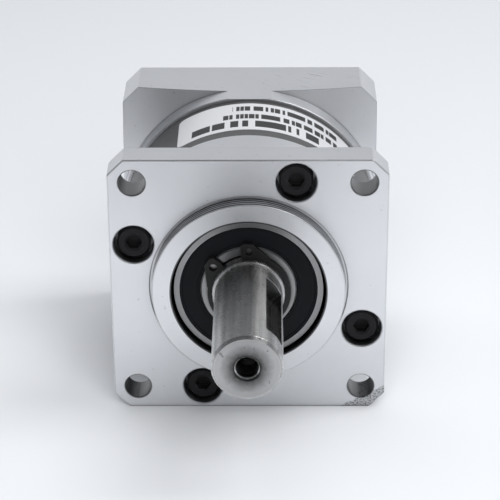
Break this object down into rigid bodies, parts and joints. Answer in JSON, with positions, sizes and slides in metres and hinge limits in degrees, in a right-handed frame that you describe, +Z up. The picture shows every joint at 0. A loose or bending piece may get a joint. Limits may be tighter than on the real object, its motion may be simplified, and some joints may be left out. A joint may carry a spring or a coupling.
{
  "type": "planetary gearbox",
  "caption": "Inline planetary speed reducer with square flanges, a keyed round output shaft in front and a hollow clamped input at the back.",
  "frame": {"origin": "on the gear axis at the output flange's mounting face", "axes": "+Z up, +Y along the gear axis from the output shaft towards the motor"},
  "size_m": [0.0572, 0.0882, 0.0572],
  "materials": {
    "aluminium": "fine machined, bare",
    "ring_steel": "dark phosphated steel",
    "shaft_steel": "ground and polished",
    "bearing_steel": "ground",
    "gear_steel": "cut and hardened",
    "black_screw": "black oxide",
    "clip_steel": "phosphated spring steel",
    "rubber": "matt moulded rubber",
    "bronze": "sintered bronze",
    "cage_nylon": "moulded nylon",
    "label_foil": "printed foil",
    "plug_plastic": "moulded plastic"
  },
  "bodies": {
    "housing": {"front_flange": "aluminium", "ring_gear": "ring_steel", "motor_flange": "aluminium", "front_screws": "black_screw", "rear_screws": "black_screw", "front_o_ring": "rubber", "access_plug": "plug_plastic", "label_plate": "label_foil", "input_bearing_bore_clip": "clip_steel", "front_bearing_outer_ring": "bearing_steel", "front_bearing_seals": "rubber", "rear_bearing_outer_ring": "bearing_steel", "rear_bearing_seals": "rubber", "input_bearing_outer_ring": "bearing_steel", "input_bearing_seals": "rubber"},
    "output": {"output_shaft": "shaft_steel", "shaft_clip": "clip_steel", "bearing_spacer": "bearing_steel", "carrier_plate": "gear_steel", "carrier_screws": "black_screw", "planet_pins": "bearing_steel", "planet_washers": "bronze", "front_bearing_inner_ring": "bearing_steel", "rear_bearing_inner_ring": "bearing_steel"},
    "input": {"input_shaft": "gear_steel", "input_shaft_clip": "clip_steel", "clamp_collar": "gear_steel", "clamp_screw": "black_screw", "input_bearing_inner_ring": "bearing_steel"},
    "planet_1": {"planet_gear_1": "gear_steel", "planet_bush_1": "bronze"},
    "planet_2": {"planet_gear_2": "gear_steel", "planet_bush_2": "bronze"},
    "planet_3": {"planet_gear_3": "gear_steel", "planet_bush_3": "bronze"},
    "front_bearing_balls_and_cage": {"front_bearing_balls": "bearing_steel", "front_bearing_cage": "cage_nylon"},
    "rear_bearing_balls_and_cage": {"rear_bearing_balls": "bearing_steel", "rear_bearing_cage": "cage_nylon"},
    "input_bearing_balls_and_cage": {"input_bearing_balls": "bearing_steel", "input_bearing_cage": "cage_nylon"}
  },
  "joints": [
    {"name": "output_turn", "type": "hinge", "parent": "housing", "child": "output", "pos_m": [0, 0, 0], "axis": [0, 1, 0], "continuous": true},
    {"name": "input_turn", "type": "hinge", "parent": "housing", "child": "input", "pos_m": [0, 0.0404, 0], "axis": [0, 1, 0], "continuous": true},
    {"name": "planet_1_spin", "type": "hinge", "parent": "output", "child": "planet_1", "pos_m": [0, 0.0272, 0.012], "axis": [0, 1, 0], "continuous": true},
    {"name": "planet_2_spin", "type": "hinge", "parent": "output", "child": "planet_2", "pos_m": [-0.01039, 0.0272, -0.006], "axis": [0, 1, 0], "continuous": true},
    {"name": "planet_3_spin", "type": "hinge", "parent": "output", "child": "planet_3", "pos_m": [0.01039, 0.0272, -0.006], "axis": [0, 1, 0], "continuous": true},
    {"name": "front_bearing_roll", "type": "hinge", "parent": "housing", "child": "front_bearing_balls_and_cage", "pos_m": [0, 0.00315, 0], "axis": [0, 1, 0], "continuous": true},
    {"name": "rear_bearing_roll", "type": "hinge", "parent": "housing", "child": "rear_bearing_balls_and_cage", "pos_m": [0, 0.01415, 0], "axis": [0, 1, 0], "continuous": true},
    {"name": "input_bearing_roll", "type": "hinge", "parent": "housing", "child": "input_bearing_balls_and_cage", "pos_m": [0, 0.0404, 0], "axis": [0, 1, 0], "continuous": true}
  ],
  "couplings": [
    {"joint": "input_turn", "follows": "output_turn", "ratio": 10},
    {"joint": "planet_1_spin", "follows": "output_turn", "ratio": -2.25},
    {"joint": "planet_2_spin", "follows": "output_turn", "ratio": -2.25},
    {"joint": "planet_3_spin", "follows": "output_turn", "ratio": -2.25},
    {"joint": "front_bearing_roll", "follows": "output_turn", "ratio": 0.39868},
    {"joint": "rear_bearing_roll", "follows": "output_turn", "ratio": 0.39868},
    {"joint": "input_bearing_roll", "follows": "output_turn", "ratio": 4.3269}
  ]
}
